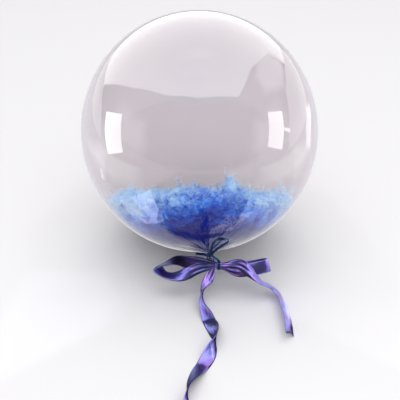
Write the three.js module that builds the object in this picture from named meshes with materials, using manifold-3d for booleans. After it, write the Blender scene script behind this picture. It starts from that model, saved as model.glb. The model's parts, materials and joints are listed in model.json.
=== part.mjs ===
// A clear bubble balloon with a gathered neck, lying on a small flat spot. A thin curling
// ribbon ties off the neck and holds a satin ribbon bow with two long tails.
// Millimetres, +Z up. The origin is the centre of the flat spot, on the floor.
import * as THREE from "three";
import { mergeVertices } from "three/addons/utils/BufferGeometryUtils.js";
import Module from "manifold-3d";

// ---- Driving dimensions ----

const BODY_RADIUS = 225; // at right angles to the neck's axis
const BODY_HALF_LENGTH = 230; // centre to crown, along the neck's axis
const SPOT_RADIUS = 32; // of the flat spot that the balloon lies on
const NECK_LEAN = 4.5; // degrees that the neck points to +X
const NECK_TILT = 48; // degrees from straight down to the neck, towards -Y

// The gathered neck: each radius, and its distance from the centre of the body.
const GATHER_RADIUS = 60; // where the gathers leave the round body
const THROAT = { radius: 15, at: 231 };
const COLLAR = { radius: 6.3, at: 238 };
const WAIST = { radius: 6, at: 243 }; // the tie sits here
const FRILL = { radius: 6.8, at: 255 }; // the cut end of the film
const PLEATS = 8;
const PLEAT_DEPTH = 0.12; // share of the radius

const BODY_SECTORS = 64;
const BODY_RINGS = 30;
const GATHER_RINGS = 7;

const SATIN_WIDTH = 25;
const SATIN_THICKNESS = 1;
const CUT_SLANT = 6; // how far one corner of a cut end stands out
const FACE_LEAN = 34; // degrees that the bow's face leans back
const KNOT_AT = [17, 17, 17]; // right, down and front of the neck tie
const KNOT_RADII = [8, 7.6, 6.2];
const PINCHED_WIDTH = 11; // of the satin where it enters the knot
const PINCH_REACH = 36; // distance from the knot at which the satin is flat again

const TIE_WIDTH = 5;
const TIE_THICKNESS = 0.8;
const NECK_BAND_HEIGHT = 8; // a few turns of the thin ribbon
const BAND_SECTORS = 24;
const FIT_GAP = 0.35; // between pieces that touch

const STEPS_PER_SPAN = 5; // of a ribbon, between two points of its route

// ---- Routes, chosen by hand ----

// Loops of the bow: distance from the knot, distance towards the front, and sag along the width.
const LEFT_LOOP = [
  [0, 0, 0],
  [18, -3, 0],
  [42, -17, 0],
  [66, -23, 0],
  [90, -20, 0],
  [109, -11, 0],
  [117, 0, 0],
  [109, 11, 0],
  [90, 19, 0],
  [66, 23, 0],
  [42, 17, 0],
  [18, 6, 0],
  [0, 1, 0],
];
const RIGHT_LOOP = [
  [0, -1, 0],
  [14, -4, 4],
  [36, -7, 8],
  [62, -8, 5],
  [84, -6, 0],
  [92, 0, -2],
  [84, 6, 0],
  [62, 8, 5],
  [36, 8, 8],
  [14, 5, 4],
  [0, 1, 0],
];

// Tails, from inside the knot: x, y, height of the lower edge over the floor,
// roll in degrees (0 lies flat, 90 stands on an edge) and width.
const LONG_TAIL = [
  [36, -198, 57, 10, 6],
  [27, -202, 52, 15, 12],
  [20, -209, 43, 8, 22],
  [14, -216, 30, 18, 25],
  [9, -224, 14, 48, 25],
  [6, -232, 1, 90, 25],
  [6, -247, 0, 120, 25],
  [11, -266, 0, 152, 25],
  [17, -290, 0, 180, 25],
  [24, -320, 0, 215, 25],
  [29, -360, 0, 268, 25],
  [21, -384, 0, 315, 25],
  [10, -407, 0, 352, 25],
  [-3, -434, 0, 372, 25],
  [-13, -463, 0, 402, 25],
  [-20, -500, 0, 448, 25],
  [-19, -532, 0, 495, 25],
  [-13, -566, 0, 540, 25],
];
const SHORT_TAIL = [
  [36, -198, 58, 0, 6],
  [48, -204, 62, 5, 12],
  [60, -210, 66, 25, 16],
  [76, -216, 64, 45, 20],
  [92, -221, 54, 30, 24],
  [110, -220, 38, 12, 25],
  [128, -214, 19, -12, 25],
  [141, -219, 5, -36, 25],
  [151, -243, 0, -50, 25],
  [156, -273, 0, -52, 25],
  [160, -301, 0, -52, 25],
  [161, -338, 0, -52, 25],
];

// The thin ribbon, right, down and front of the neck tie. Its small loop lies on the film.
const TIE_LOOP = [
  [2.5, -1.5, 6.9],
  [2.5, -10, 16],
  [5, -21, 33],
  [11, -30, 50],
  [19, -33, 55],
  [27, -33, 54],
  [32, -31, 46],
  [31, -26, 34],
  [24, -21, 26],
  [15, -15, 20],
  [7, -8, 14],
  [3, -1.5, 6.9],
];
const TIE_END = [
  [-3.5, 0, 6.3],
  [-9, -3, 9],
  [-17, -4, 9],
  [-26, -5, 7],
];
const TIE_STRAND = [
  [3.5, -0.5, 6.8],
  [8, 3, 12],
  [13, 6, 18],
  [17, 9.6, 21.6],
];

// ---- Frames ----

const toRadians = THREE.MathUtils.degToRad;

function neckDirection() {
  const lean = toRadians(NECK_LEAN);
  const tilt = toRadians(NECK_TILT);
  const sideways = Math.sin(lean);
  const onwards = Math.cos(lean);
  return new THREE.Vector3(sideways, -onwards * Math.sin(tilt), -onwards * Math.cos(tilt));
}

// Centre of the body, placed so that its lowest point, cut flat, is at the origin.
function bodyCentre(neck) {
  const round = BODY_RADIUS ** 2;
  const stretch = BODY_HALF_LENGTH ** 2 - round;
  const reach = Math.sqrt(round + stretch * neck.z ** 2);
  const spotDepth = SPOT_RADIUS ** 2 / (2 * BODY_RADIUS);
  const shift = (stretch * neck.z) / reach;
  return new THREE.Vector3(shift * neck.x, shift * neck.y, reach - spotDepth);
}

const neck = neckDirection();
const centre = bodyCentre(neck);
const tiePoint = centre.clone().addScaledVector(neck, WAIST.at);

// The bow faces up and forward, so its places are given right, down and front of the tie.
const leanBack = toRadians(FACE_LEAN);
const right = new THREE.Vector3(1, 0, 0);
const down = new THREE.Vector3(0, -Math.sin(leanBack), -Math.cos(leanBack));
const front = new THREE.Vector3(0, -Math.cos(leanBack), Math.sin(leanBack));

function bowDirection([toRight, toDown, toFront]) {
  return new THREE.Vector3()
    .addScaledVector(right, toRight)
    .addScaledVector(down, toDown)
    .addScaledVector(front, toFront);
}

const knotCentre = bowDirection(KNOT_AT).add(tiePoint);

// ---- Solids ----

const wasm = await Module();
wasm.setup();

// A closed geometry as a solid, with shared vertices merged and empty triangles dropped.
function solidOf(geometry) {
  const bare = geometry.clone();
  bare.deleteAttribute("normal");
  bare.deleteAttribute("uv");
  const merged = mergeVertices(bare, 1e-4);
  const corners = merged.index.array;
  const kept = [];
  for (let i = 0; i < corners.length; i += 3) {
    const [a, b, c] = [corners[i], corners[i + 1], corners[i + 2]];
    if (a !== b && b !== c && c !== a) kept.push(a, b, c);
  }
  const vertProperties = merged.attributes.position.array;
  const triVerts = Uint32Array.from(kept);
  return new wasm.Manifold(new wasm.Mesh({ numProp: 3, vertProperties, triVerts }));
}

function geometryOf(solid) {
  const { vertProperties, triVerts } = solid.getMesh();
  const geometry = new THREE.BufferGeometry();
  geometry.setAttribute("position", new THREE.BufferAttribute(vertProperties, 3));
  geometry.setIndex(new THREE.BufferAttribute(triVerts, 1));
  geometry.computeVertexNormals();
  return geometry;
}

function joined(geometries) {
  return geometryOf(geometries.map(solidOf).reduce((whole, next) => whole.add(next)));
}

// A closed strip of corners, four to a ring, capped at both ends.
function ringsGeometry(position) {
  const rings = position.length / 12;
  const index = [0, 1, 2, 0, 2, 3];
  for (let ring = 0; ring < rings - 1; ring += 1) {
    for (let side = 0; side < 4; side += 1) {
      const a = 4 * ring + side;
      const b = 4 * ring + ((side + 1) % 4);
      index.push(a, b + 4, b, a, a + 4, b + 4);
    }
  }
  const end = 4 * (rings - 1);
  index.push(end, end + 2, end + 1, end, end + 3, end + 2);
  const geometry = new THREE.BufferGeometry();
  geometry.setAttribute("position", new THREE.Float32BufferAttribute(position, 3));
  geometry.setIndex(index);
  return geometry;
}

// ---- Film ----

function filmProfile() {
  const profile = [];
  const gatherAngle = Math.asin(GATHER_RADIUS / BODY_RADIUS);
  for (let ring = 0; ring <= BODY_RINGS; ring += 1) {
    const angle = Math.PI - (ring / BODY_RINGS) * (Math.PI - gatherAngle);
    const radius = ring === 0 ? 0 : BODY_RADIUS * Math.sin(angle);
    profile.push(new THREE.Vector2(radius, BODY_HALF_LENGTH * Math.cos(angle)));
  }
  const gather = new THREE.QuadraticBezierCurve(
    profile[profile.length - 1].clone(),
    new THREE.Vector2(THROAT.radius, THROAT.at),
    new THREE.Vector2(COLLAR.radius, COLLAR.at),
  );
  profile.push(...gather.getPoints(GATHER_RINGS).slice(1));
  profile.push(new THREE.Vector2(WAIST.radius, WAIST.at));
  profile.push(new THREE.Vector2(FRILL.radius, FRILL.at));
  profile.push(new THREE.Vector2(0, FRILL.at));
  return profile;
}

// Share of the pleats' depth: none on the round body and under the tie.
function pleatShare(radius, along) {
  if (along > COLLAR.at) return THREE.MathUtils.smoothstep(along, WAIST.at + NECK_BAND_HEIGHT / 2, FRILL.at);
  if (along < 0) return 0;
  const gathered = 1 - THREE.MathUtils.smoothstep(radius, THROAT.radius, GATHER_RADIUS);
  return gathered * THREE.MathUtils.smoothstep(radius, COLLAR.radius, THROAT.radius);
}

function pleat(geometry) {
  const position = geometry.attributes.position;
  for (let i = 0; i < position.count; i += 1) {
    const [x, along, z] = [position.getX(i), position.getY(i), position.getZ(i)];
    const share = pleatShare(Math.hypot(x, z), along);
    const scale = 1 + PLEAT_DEPTH * share * Math.cos(PLEATS * Math.atan2(z, x));
    position.setXYZ(i, x * scale, along, z * scale);
  }
  return geometry;
}

// Turns a geometry made about +Y to lie along a direction, and moves it to a point.
function placeAlong(geometry, direction, at) {
  const turn = new THREE.Quaternion().setFromUnitVectors(new THREE.Vector3(0, 1, 0), direction);
  return geometry.applyQuaternion(turn).translate(...at.toArray());
}

function film() {
  const whole = placeAlong(pleat(new THREE.LatheGeometry(filmProfile(), BODY_SECTORS)), neck, centre);
  const underFloor = new THREE.BoxGeometry(4 * BODY_RADIUS, 4 * BODY_RADIUS, BODY_RADIUS);
  underFloor.translate(0, 0, -BODY_RADIUS / 2);
  return geometryOf(solidOf(whole).subtract(solidOf(underFloor)));
}

// ---- Ribbons ----

function catmullRom([before, start, end, after], t) {
  const leaving = (end - before) / 2;
  const arriving = (after - start) / 2;
  const bend = 2 * (start - end) + leaving + arriving;
  const sweep = 3 * (end - start) - 2 * leaving - arriving;
  return start + t * (leaving + t * (sweep + t * bend));
}

// A smooth curve through rows of numbers; every column is splined on its own.
function smoothRows(rows) {
  const spans = rows.length - 1;
  const smooth = [];
  for (let step = 0; step <= spans * STEPS_PER_SPAN; step += 1) {
    const span = Math.min(Math.floor(step / STEPS_PER_SPAN), spans - 1);
    const around = [-1, 0, 1, 2].map((k) => rows[THREE.MathUtils.clamp(span + k, 0, spans)]);
    const t = step / STEPS_PER_SPAN - span;
    smooth.push(rows[0].map((_, column) => catmullRom(around.map((row) => row[column]), t)));
  }
  return smooth;
}

// Direction of a route at one of its points, from the points beside it.
function directionAt(points, i) {
  const before = points[Math.max(i - 1, 0)];
  const after = points[Math.min(i + 1, points.length - 1)];
  return after.clone().sub(before).normalize();
}

// A flat strip through stations, each a point and half of the width as a vector.
function strip(points, halfWidths, thickness) {
  const position = [];
  points.forEach((at, i) => {
    const out = directionAt(points, i).cross(halfWidths[i]).setLength(thickness / 2);
    for (const [side, face] of [[-1, 1], [1, 1], [1, -1], [-1, -1]]) {
      const corner = at.clone().addScaledVector(halfWidths[i], side).addScaledVector(out, face);
      position.push(...corner.toArray());
    }
  });
  return ringsGeometry(position);
}

// A loop of the bow: out, round and back, with the width in one direction all the way.
function bowLoop(rows, outward, across) {
  const along = bowDirection(outward).normalize();
  const width = bowDirection(across).normalize();
  const forward = along.clone().cross(width).normalize();
  forward.multiplyScalar(Math.sign(forward.dot(front)));
  const points = [];
  const halfWidths = [];
  for (const [reach, out, sag] of smoothRows(rows)) {
    const flat = THREE.MathUtils.smoothstep(reach, 0, PINCH_REACH);
    const ribbonWidth = THREE.MathUtils.lerp(PINCHED_WIDTH, SATIN_WIDTH, flat);
    const at = knotCentre.clone().addScaledVector(along, reach);
    points.push(at.addScaledVector(forward, out).addScaledVector(width, sag));
    halfWidths.push(width.clone().multiplyScalar(ribbonWidth / 2));
  }
  return strip(points, halfWidths, SATIN_THICKNESS);
}

// A tail that rolls about its middle line while its lower edge keeps its height.
function tail(rows) {
  const smooth = smoothRows(rows);
  const ground = smooth.map(([x, y]) => new THREE.Vector3(x, y, 0));
  const halfWidths = smooth.map(([, , , roll, width], i) => {
    const { x, y } = directionAt(ground, i);
    const angle = toRadians(roll);
    const across = new THREE.Vector3(-y * Math.cos(angle), x * Math.cos(angle), Math.sin(angle));
    return across.multiplyScalar(width / 2);
  });
  const points = smooth.map(([x, y, clearance], i) => {
    const lowerEdge = Math.max(clearance, 0) + SATIN_THICKNESS;
    return new THREE.Vector3(x, y, lowerEdge + Math.abs(halfWidths[i].z));
  });
  const last = points.length - 1;
  halfWidths[last].addScaledVector(directionAt(ground, last), -CUT_SLANT);
  return strip(points, halfWidths, SATIN_THICKNESS);
}

function knot() {
  const geometry = new THREE.SphereGeometry(1, 16, 10);
  geometry.scale(KNOT_RADII[0], KNOT_RADII[1], KNOT_RADII[2]);
  geometry.applyMatrix4(new THREE.Matrix4().makeBasis(right, down.clone().negate(), front));
  return geometry.translate(...knotCentre.toArray());
}

function satinBow() {
  const leftLoop = bowLoop(LEFT_LOOP, [-1, 0.07, 0], [0, 0.77, -0.64]);
  const rightLoop = bowLoop(RIGHT_LOOP, [1, 0, 0], [0.27, 0.93, -0.25]);
  return joined([knot(), leftLoop, rightLoop, tail(LONG_TAIL), tail(SHORT_TAIL)]);
}

// ---- The thin tie ----

// A wound band about +Y with a round opening.
function woundBand(openingRadius, height) {
  const inner = openingRadius + FIT_GAP;
  const outer = inner + TIE_THICKNESS;
  const profile = [
    new THREE.Vector2(inner, -height / 2),
    new THREE.Vector2(outer, -height / 2),
    new THREE.Vector2(outer, height / 2),
    new THREE.Vector2(inner, height / 2),
    new THREE.Vector2(inner, -height / 2),
  ];
  return new THREE.LatheGeometry(profile, BAND_SECTORS);
}

// The band round the knot: oval, with the satin passing through it along +X.
function knotBand() {
  const [, halfHeight, halfDepth] = KNOT_RADII;
  const band = woundBand(halfHeight, TIE_WIDTH);
  band.scale(halfDepth / halfHeight, 1, 1);
  band.applyMatrix4(new THREE.Matrix4().makeBasis(front, right, down.clone().negate()));
  return band.translate(...knotCentre.toArray());
}

// A free length of the thin ribbon, with its flat side to the front.
function curl(rows) {
  const points = smoothRows(rows).map((row) => bowDirection(row).add(tiePoint));
  const halfWidths = points.map((_, i) => {
    return directionAt(points, i).cross(front).setLength(TIE_WIDTH / 2);
  });
  return strip(points, halfWidths, TIE_THICKNESS);
}

function neckTie() {
  const neckBand = placeAlong(woundBand(COLLAR.radius, NECK_BAND_HEIGHT), neck, tiePoint);
  return joined([neckBand, knotBand(), curl(TIE_LOOP), curl(TIE_END), curl(TIE_STRAND)]);
}

// ---- The balloon ----

const clearFilm = new THREE.MeshStandardMaterial({
  color: 0xe6e0e4,
  roughness: 0.05,
  metalness: 0,
  transparent: true,
  opacity: 0.35,
});
const navySatin = new THREE.MeshStandardMaterial({ color: 0x3b3a86, roughness: 0.35, metalness: 0 });
const glossyTeal = new THREE.MeshStandardMaterial({ color: 0x16305c, roughness: 0.25, metalness: 0.4 });

function part(name, geometry, material) {
  const mesh = new THREE.Mesh(geometry, material);
  mesh.name = name;
  return mesh;
}

const balloon = new THREE.Group();
balloon.add(part("film", film(), clearFilm));
balloon.add(part("satin_bow", satinBow(), navySatin));
balloon.add(part("neck_tie", neckTie(), glossyTeal));

export default balloon;
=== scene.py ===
"""A clear bubble balloon lying on the floor, with dyed down feathers sealed inside,
its gathered neck tied off with a thin curling ribbon that holds a satin ribbon bow."""
import json
import math

import bpy
import numpy as np
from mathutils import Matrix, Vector, noise

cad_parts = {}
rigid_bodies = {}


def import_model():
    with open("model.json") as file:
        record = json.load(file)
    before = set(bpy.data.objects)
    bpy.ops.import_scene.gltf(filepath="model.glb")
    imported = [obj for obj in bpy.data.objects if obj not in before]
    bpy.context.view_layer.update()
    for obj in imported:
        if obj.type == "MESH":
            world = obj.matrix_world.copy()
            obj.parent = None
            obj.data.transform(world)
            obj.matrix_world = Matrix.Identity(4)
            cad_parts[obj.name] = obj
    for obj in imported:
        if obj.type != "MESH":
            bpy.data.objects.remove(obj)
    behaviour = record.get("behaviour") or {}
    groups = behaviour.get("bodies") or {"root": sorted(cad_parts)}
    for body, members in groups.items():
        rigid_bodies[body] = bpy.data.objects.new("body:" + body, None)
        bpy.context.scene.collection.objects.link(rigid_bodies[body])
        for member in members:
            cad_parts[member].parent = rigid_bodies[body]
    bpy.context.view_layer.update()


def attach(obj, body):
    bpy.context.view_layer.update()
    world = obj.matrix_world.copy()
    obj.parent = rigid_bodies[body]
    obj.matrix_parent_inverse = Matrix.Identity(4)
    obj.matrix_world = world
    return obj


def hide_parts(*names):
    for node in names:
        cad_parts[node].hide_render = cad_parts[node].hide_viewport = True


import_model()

MM = 0.001

# ---- Sizes in metres; the ribbons are thinner than in the solids ----

BODY_RADIUS = 0.225
BODY_HALF_LENGTH = 0.230
SPOT_RADIUS = 0.032
NECK_LEAN = math.radians(4.5)
NECK_TILT = math.radians(48)
GATHER_RADIUS = 0.060  # where the gathers leave the round body
# The gathered neck: each radius, and its distance from the body's centre.
THROAT = (0.015, 0.231)
COLLAR = (0.0063, 0.238)
WAIST = (0.006, 0.243)
FRILL = (0.0068, 0.255)
PLEATS = 8
PLEAT_DEPTH = 0.12  # share of the radius
FINE_PLEATS = 24
FINE_PLEAT_SHARE = 0.35
NECK_BAND_HEIGHT = 0.008

SATIN_WIDTH = 0.025
SATIN_THICKNESS = 0.0004
SATIN_LIFT = 0.001
LONG_CUT_SLANT = 0.006
SHORT_CUT_SLANT = 0.012
FACE_LEAN = math.radians(34)
KNOT_AT = (0.017, 0.017, 0.017)  # right, down and front of the neck tie
KNOT_RADII = (0.008, 0.0076, 0.0062)

TIE_WIDTH = 0.005
TIE_THICKNESS = 0.0004
FIT_GAP = 0.00035

# ---- Routes of the ribbons, in millimetres ----

# A loop's rows: right, down and front of the knot, the way the ribbon's width points
# (degrees, from right towards down), how far that leans to the front, and the width.
LEFT_LOOP = [
    (0, 0, -1, -90, 0, 10), (-12, -2, -3, -90, 5, 13), (-34, -4, -6, -90, 8, 22),
    (-55, -5, -9, -92, 15, 25), (-78, -8.5, -9, -98, 42, 25), (-96, -2.5, -5, -150, 62, 25),
    (-112, 5, 0, -200, 38, 25), (-102.5, 15, 4, -222, 56, 25), (-88, 19.5, 7, -260, 56, 25),
    (-72, 18.5, 9, -270, 38, 25), (-55, 12.5, 9, -270, 10, 25), (-36, 5, 7, -270, 5, 20),
    (-15, 1.5, 5, -270, 0, 13), (0, 0, 2, -270, 0, 10),
]
RIGHT_LOOP = [
    (0, 0, -1, 74, -15, 10), (15, 2.5, -5, 74, -15, 14), (38, 5.5, -9, 74, -15, 25),
    (63, 2.5, -9, 74, -15, 25), (84, -1.5, -6, 74, -15, 25), (92, -2, 0.5, 72, -10, 25),
    (84, 1.5, 6, 74, -5, 25), (63, 5.5, 8, 78, 5, 25), (38, 9, 8, 85, 15, 25),
    (24, 8, 7, 88, 10, 19), (12, 3.5, 5, 88, 0, 13), (0, 0.5, 2, 88, 0, 10),
]
# A tail's rows on the floor's plan: x, y, clearance under its lower edge, roll in degrees, width.
LONG_TAIL = [
    (36, -198, 57, 10, 6), (27, -202, 52, 15, 12), (20, -209, 43, 8, 22), (14, -216, 30, 18, 25),
    (9, -224, 14, 48, 25), (6, -232, 1, 90, 25), (6, -247, 0, 120, 25), (11, -266, 0, 152, 25),
    (17, -290, 0, 180, 25), (24, -320, 0, 215, 25), (29, -360, 0, 268, 25), (21, -384, 0, 315, 25),
    (10, -407, 0, 352, 25), (-3, -434, 0, 372, 25), (-13, -463, 0, 402, 25), (-20, -500, 0, 448, 25),
    (-19, -532, 0, 495, 25), (-13, -566, 0, 540, 25),
]
SHORT_TAIL = [
    (36, -198, 58, 0, 6), (48, -204, 62, 5, 12), (60, -210, 66, 25, 16), (76, -216, 64, 45, 20),
    (92, -221, 54, 30, 24), (110, -220, 38, 12, 25), (128, -214, 19, -12, 25), (141, -219, 5, -36, 25),
    (151, -243, 0, -50, 25), (156, -273, 0, -52, 25), (160, -301, 0, -52, 25), (161, -338, 0, -52, 25),
]
# The thin ribbon's routes: right, down and front of the neck tie.
TIE_LOOP = [
    (2.5, -1.5, 6.9), (2.5, -10, 16), (5, -21, 33), (11, -30, 50), (19, -33, 55), (27, -33, 54),
    (32, -31, 46), (31, -26, 34), (24, -21, 26), (15, -15, 20), (7, -8, 14), (3, -1.5, 6.9),
]
TIE_END = [(-3.5, 0, 6.3), (-9, -3, 9), (-17, -4, 9), (-26, -5, 7)]
TIE_STRAND = [(3.5, -0.5, 6.8), (8, 3, 12), (13, 6, 18), (17, 9.6, 21.6)]

# ---- Frames ----


def neck_direction():
    sideways, onwards = math.sin(NECK_LEAN), math.cos(NECK_LEAN)
    return Vector((sideways, -onwards * math.sin(NECK_TILT), -onwards * math.cos(NECK_TILT)))


def body_centre(neck):
    stretch = BODY_HALF_LENGTH ** 2 - BODY_RADIUS ** 2
    reach = math.sqrt(BODY_RADIUS ** 2 + stretch * neck.z ** 2)
    spot_depth = SPOT_RADIUS ** 2 / (2 * BODY_RADIUS)
    shift = stretch * neck.z / reach
    return Vector((shift * neck.x, shift * neck.y, reach - spot_depth))


NECK = neck_direction()
CENTRE = body_centre(NECK)
TIE_POINT = CENTRE + WAIST[1] * NECK
RIGHT = Vector((1, 0, 0))
DOWN = Vector((0, -math.sin(FACE_LEAN), -math.cos(FACE_LEAN)))
FRONT = Vector((0, -math.cos(FACE_LEAN), math.sin(FACE_LEAN)))


def bow_direction(places):
    return places[0] * RIGHT + places[1] * DOWN + places[2] * FRONT


KNOT = TIE_POINT + bow_direction(KNOT_AT)

# ---- Mesh helpers ----


def make_object(name, vertices, faces, smooth=True):
    mesh = bpy.data.meshes.new(name)
    mesh.from_pydata([tuple(v) for v in vertices], [], faces)
    mesh.update()
    if smooth:
        mesh.shade_smooth()
    piece = bpy.data.objects.new(name, mesh)
    bpy.context.scene.collection.objects.link(piece)
    return piece


def smoothstep(value, low, high):
    t = np.clip((value - low) / (high - low), 0.0, 1.0)
    return t * t * (3 - 2 * t)


def smooth_rows(rows, steps):
    """A smooth curve through rows of numbers; every column is splined on its own."""
    rows = np.array(rows, dtype=float)
    spans = len(rows) - 1
    smooth = []
    for step in range(spans * steps + 1):
        span = min(step // steps, spans - 1)
        before, start, end, after = (rows[min(max(span + k, 0), spans)] for k in (-1, 0, 1, 2))
        t = step / steps - span
        leaving, arriving = (end - before) / 2, (after - start) / 2
        bend = 2 * (start - end) + leaving + arriving
        sweep = 3 * (end - start) - 2 * leaving - arriving
        smooth.append(start + t * (leaving + t * (sweep + t * bend)))
    return np.array(smooth)


# ---- Node helpers ----


class Nodes:
    """A short way to add nodes to a tree and link them."""

    def __init__(self, tree):
        self.tree = tree

    def add(self, kind, settings=None, **inputs):
        node = self.tree.nodes.new(kind)
        for name, value in (settings or {}).items():
            setattr(node, name, value)
        for name, value in inputs.items():
            self.feed(node.inputs[name.replace("_", " ")], value)
        return node

    def feed(self, socket, value):
        if isinstance(value, bpy.types.NodeSocket):
            self.tree.links.new(value, socket)
        else:
            socket.default_value = value

    def math(self, operation, *values):
        node = self.tree.nodes.new("ShaderNodeMath")
        node.operation = operation
        for socket, value in zip(node.inputs, values):
            self.feed(socket, value)
        return node.outputs[0]

    def vector_math(self, operation, *values):
        node = self.tree.nodes.new("ShaderNodeVectorMath")
        node.operation = operation
        for socket, value in zip(node.inputs, values):
            self.feed(socket, value)
        is_number = operation in ("LENGTH", "DISTANCE", "DOT_PRODUCT")
        return node.outputs["Value" if is_number else "Vector"]

    def ramp(self, factor, stops):
        node = self.tree.nodes.new("ShaderNodeValToRGB")
        elements = node.color_ramp.elements
        while len(elements) < len(stops):
            elements.new(0.5)
        for element, (place, colour) in zip(elements, stops):
            element.position = place
            element.color = (*colour, 1)
        self.feed(node.inputs[0], factor)
        return node.outputs[0]

    def mix(self, factor, first, second):
        node = self.tree.nodes.new("ShaderNodeMix")
        node.data_type = "RGBA"
        sockets = (node.inputs[0], node.inputs[6], node.inputs[7])
        for socket, value in zip(sockets, (factor, first, second)):
            self.feed(socket, (*value, 1) if isinstance(value, tuple) else value)
        return node.outputs[2]


def new_material(name, **plain):
    """A material with one Principled shader and plain values on its sockets."""
    material = bpy.data.materials.new(name)
    material.use_nodes = True
    shader = material.node_tree.nodes["Principled BSDF"]
    for socket, value in plain.items():
        shader.inputs[socket.replace("_", " ")].default_value = value
    return material, Nodes(material.node_tree), shader


# ---- Film ----

FILM_SECTORS = 144
FILM_RINGS = 84
GATHER_RINGS = 26
FILM_WALL = 0.0004
FRILL_DIMPLE = 0.004
SPOT_SOFTNESS = 0.0012
CREASE_COUNT = 9.0
CREASE_REACH = 0.13
CREASE_DEPTH = 0.004


def film_profile(inset=0.0):
    """Radius and distance along the neck's axis, from the crown to the collar."""
    end_angle = math.asin(GATHER_RADIUS / BODY_RADIUS)
    angle = np.linspace(math.pi, end_angle, FILM_RINGS)
    radius = (BODY_RADIUS - inset) * np.sin(angle)
    along = (BODY_HALF_LENGTH - inset) * np.cos(angle)
    radius[0] = 0
    t = np.linspace(0, 1, GATHER_RINGS)[1:]
    start = np.array((radius[-1], along[-1]))
    turn = np.array((THROAT[0] - inset, THROAT[1] - inset))
    end = np.array((COLLAR[0] - inset, COLLAR[1] - inset))
    gather = [(1 - k) ** 2 * start + 2 * k * (1 - k) * turn + k ** 2 * end for k in t]
    return np.vstack((np.column_stack((radius, along)), gather))


def pleat_share(radius, along):
    under_tie = smoothstep(along, WAIST[1] + NECK_BAND_HEIGHT / 2, FRILL[1])
    gathered = 1 - smoothstep(radius, THROAT[0], GATHER_RADIUS)
    on_body = gathered * smoothstep(radius, COLLAR[0], THROAT[0]) * (along > 0)
    return np.where(along > COLLAR[1], under_tie, on_body)


def turned(profile, sectors):
    """Points of a profile turned about the neck's axis, pleated near the neck, and set in place."""
    angle = np.linspace(0, 2 * math.pi, sectors, endpoint=False)
    radius, along = profile[:, :1], profile[:, 1:]
    pleats = np.cos(PLEATS * angle) + FINE_PLEAT_SHARE * np.cos(FINE_PLEATS * angle + 1)
    scale = 1 + PLEAT_DEPTH * pleat_share(radius, along) * pleats
    local = np.stack((radius * scale * np.cos(angle), along + 0 * angle, radius * scale * np.sin(angle)), -1)
    turn = Vector((0, 1, 0)).rotation_difference(NECK).to_matrix()
    return local.reshape(-1, 3) @ np.array(turn).T + np.array(CENTRE)


def lay_on_floor(points, floor):
    """Presses what would be under the floor onto it, with a soft edge."""
    height = points[:, 2] - floor
    points[:, 2] = floor + (height + np.sqrt(height ** 2 + SPOT_SOFTNESS ** 2)) / 2
    return points


def ring_faces(first, rings, sectors, outward=True):
    faces = []
    for ring in range(rings - 1):
        for sector in range(sectors):
            a = first + ring * sectors + sector
            b = first + ring * sectors + (sector + 1) % sectors
            faces.append((a, a + sectors, b + sectors, b) if outward else (a, b, b + sectors, a + sectors))
    return faces


def cap_faces(tip, first, sectors, outward):
    """A fan from a tip point to a ring of points."""
    edges = [(first + k, first + (k + 1) % sectors) for k in range(sectors)]
    return [(tip, a, b) if outward else (tip, b, a) for a, b in edges]


def make_film():
    outer = np.vstack((film_profile(), WAIST, FRILL))[1:]
    inner = film_profile(FILM_WALL)[1:-3]
    axis = np.array(NECK)
    middle = np.array(CENTRE)
    tips = np.array([
        middle - BODY_HALF_LENGTH * axis,
        middle + (FRILL[1] - FRILL_DIMPLE) * axis,
        middle - (BODY_HALF_LENGTH - FILM_WALL) * axis,
        middle + (inner[-1, 1] + FILM_WALL) * axis,
    ])
    outer_points = lay_on_floor(turned(outer, FILM_SECTORS), 0.0)
    inner_points = lay_on_floor(turned(inner, FILM_SECTORS), FILM_WALL)
    points = np.vstack((tips, outer_points, inner_points))
    outer_first, inner_first = 4, 4 + len(outer_points)
    outer_last = inner_first - FILM_SECTORS
    inner_last = len(points) - FILM_SECTORS
    faces = ring_faces(outer_first, len(outer), FILM_SECTORS)
    faces += ring_faces(inner_first, len(inner), FILM_SECTORS, outward=False)
    faces += cap_faces(0, outer_first, FILM_SECTORS, outward=True)
    faces += cap_faces(1, outer_last, FILM_SECTORS, outward=False)
    faces += cap_faces(2, inner_first, FILM_SECTORS, outward=False)
    faces += cap_faces(3, inner_last, FILM_SECTORS, outward=True)
    return make_object("bubble_film", points, faces)


def film_material():
    """Clear film with a slight violet cast; faint creases run out over it from the tied neck."""
    material, nodes, shader = new_material(
        "clear_film",
        Base_Color=(0.845, 0.81, 0.83, 1),
        Roughness=0.0,
        IOR=1.55,
        Transmission_Weight=1.0,
    )
    place = nodes.add("ShaderNodeTexCoord").outputs["Object"]
    from_tie = nodes.vector_math("SUBTRACT", place, tuple(TIE_POINT))
    away = nodes.vector_math("NORMALIZE", from_tie)
    distance = nodes.vector_math("LENGTH", from_tie)
    creases = nodes.add("ShaderNodeTexNoise", Vector=away, Scale=CREASE_COUNT, Detail=2.0)
    fade = nodes.math("SUBTRACT", 1.0, nodes.math("DIVIDE", distance, CREASE_REACH))
    depth = nodes.math("MULTIPLY", creases.outputs[0], nodes.math("MAXIMUM", fade, 0.0))
    bump = nodes.add("ShaderNodeBump", Strength=0.6, Distance=CREASE_DEPTH, Height=depth)
    nodes.feed(shader.inputs["Normal"], bump.outputs[0])
    return material


# ---- Feathers ----

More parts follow.
